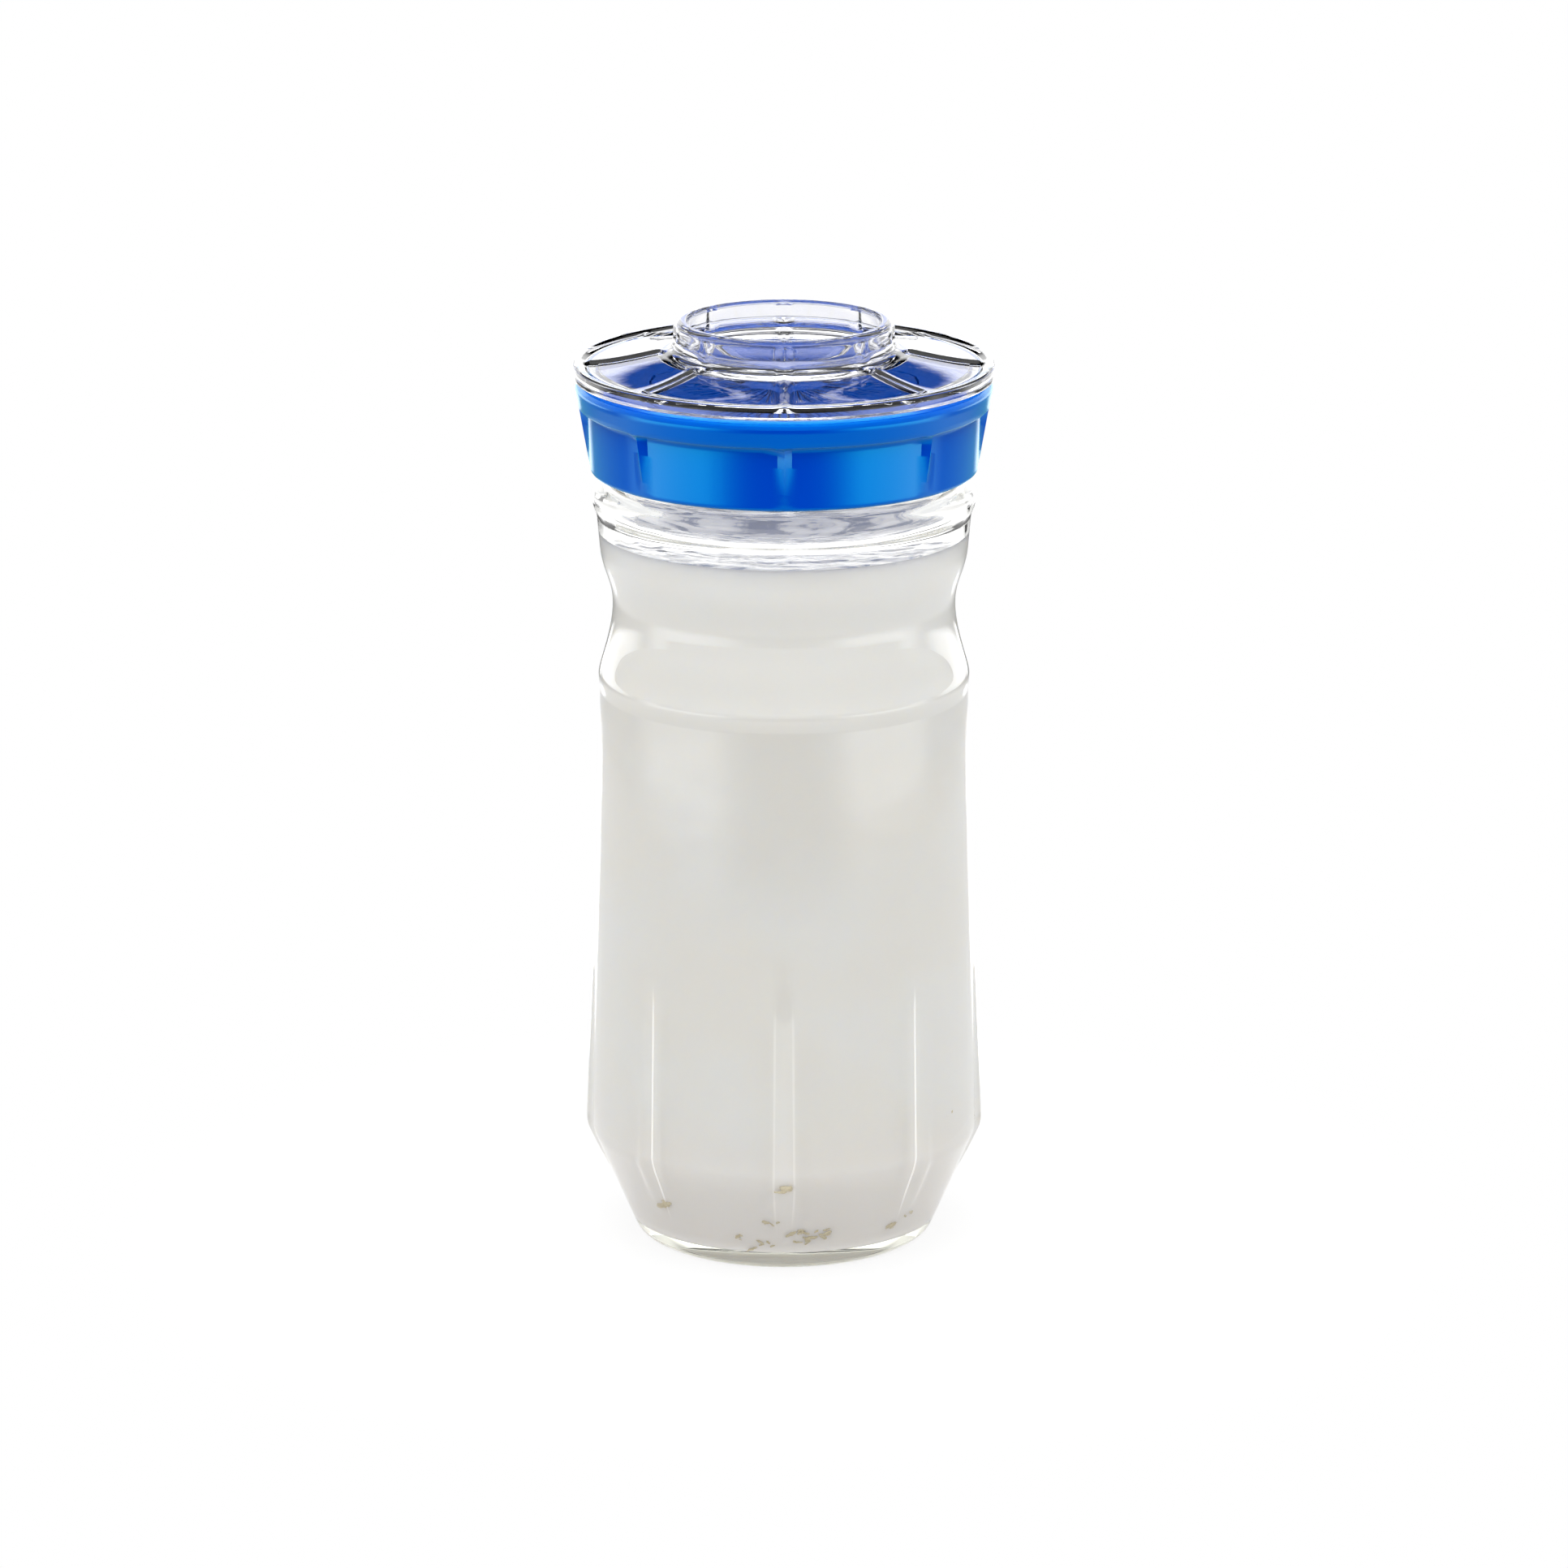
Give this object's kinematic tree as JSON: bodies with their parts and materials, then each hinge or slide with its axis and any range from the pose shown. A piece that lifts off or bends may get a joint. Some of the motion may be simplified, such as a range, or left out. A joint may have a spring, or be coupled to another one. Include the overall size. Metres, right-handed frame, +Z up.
{
  "type": "fermentation jar",
  "caption": "Ribbed glass jar for fermenting milk, under a screw lid with a slotted strainer and a clear cover whose middle is a cup with a fluted reamer underneath.",
  "frame": {"origin": "centre of the jar's foot, on the surface that it stands on", "axes": "+Z up along the jar's axis, -Y towards the front, where one of the eight ribs is"},
  "size_m": [0.0982, 0.0982, 0.2207],
  "materials": {
    "clear_glass": "clear pressed soda-lime glass, fire-polished",
    "silicone": "translucent silicone, satin",
    "blue_plastic": "azure injection-moulded polypropylene, semi-gloss",
    "clear_plastic": "clear injection-moulded plastic, polished"
  },
  "bodies": {
    "jar": {"glass_jar": "clear_glass"},
    "jar_seal": {"jar_seal": "silicone"},
    "lid_base": {"lid_base": "blue_plastic"},
    "strainer": {"strainer": "blue_plastic"},
    "cover_seal": {"cover_seal": "silicone"},
    "top_cover": {"top_cover": "clear_plastic"}
  },
  "joints": [
    {"name": "lid_lift", "type": "slide", "parent": "jar", "child": "jar_seal", "axis": [0, 0, 1], "range_m": [0, 0.05]},
    {"name": "lid_turn", "type": "hinge", "parent": "jar_seal", "child": "lid_base", "pos_m": [0, 0, 0.2], "axis": [0, 0, 1], "range_deg": [0, 90]},
    {"name": "strainer_lift", "type": "slide", "parent": "lid_base", "child": "strainer", "axis": [0, 0, 1], "range_m": [0, 0.03]},
    {"name": "cover_lift", "type": "slide", "parent": "strainer", "child": "cover_seal", "axis": [0, 0, 1], "range_m": [0, 0.04]},
    {"name": "cover_turn", "type": "hinge", "parent": "cover_seal", "child": "top_cover", "pos_m": [0, 0, 0.2076], "axis": [0, 0, 1], "range_deg": [0, 45]}
  ]
}
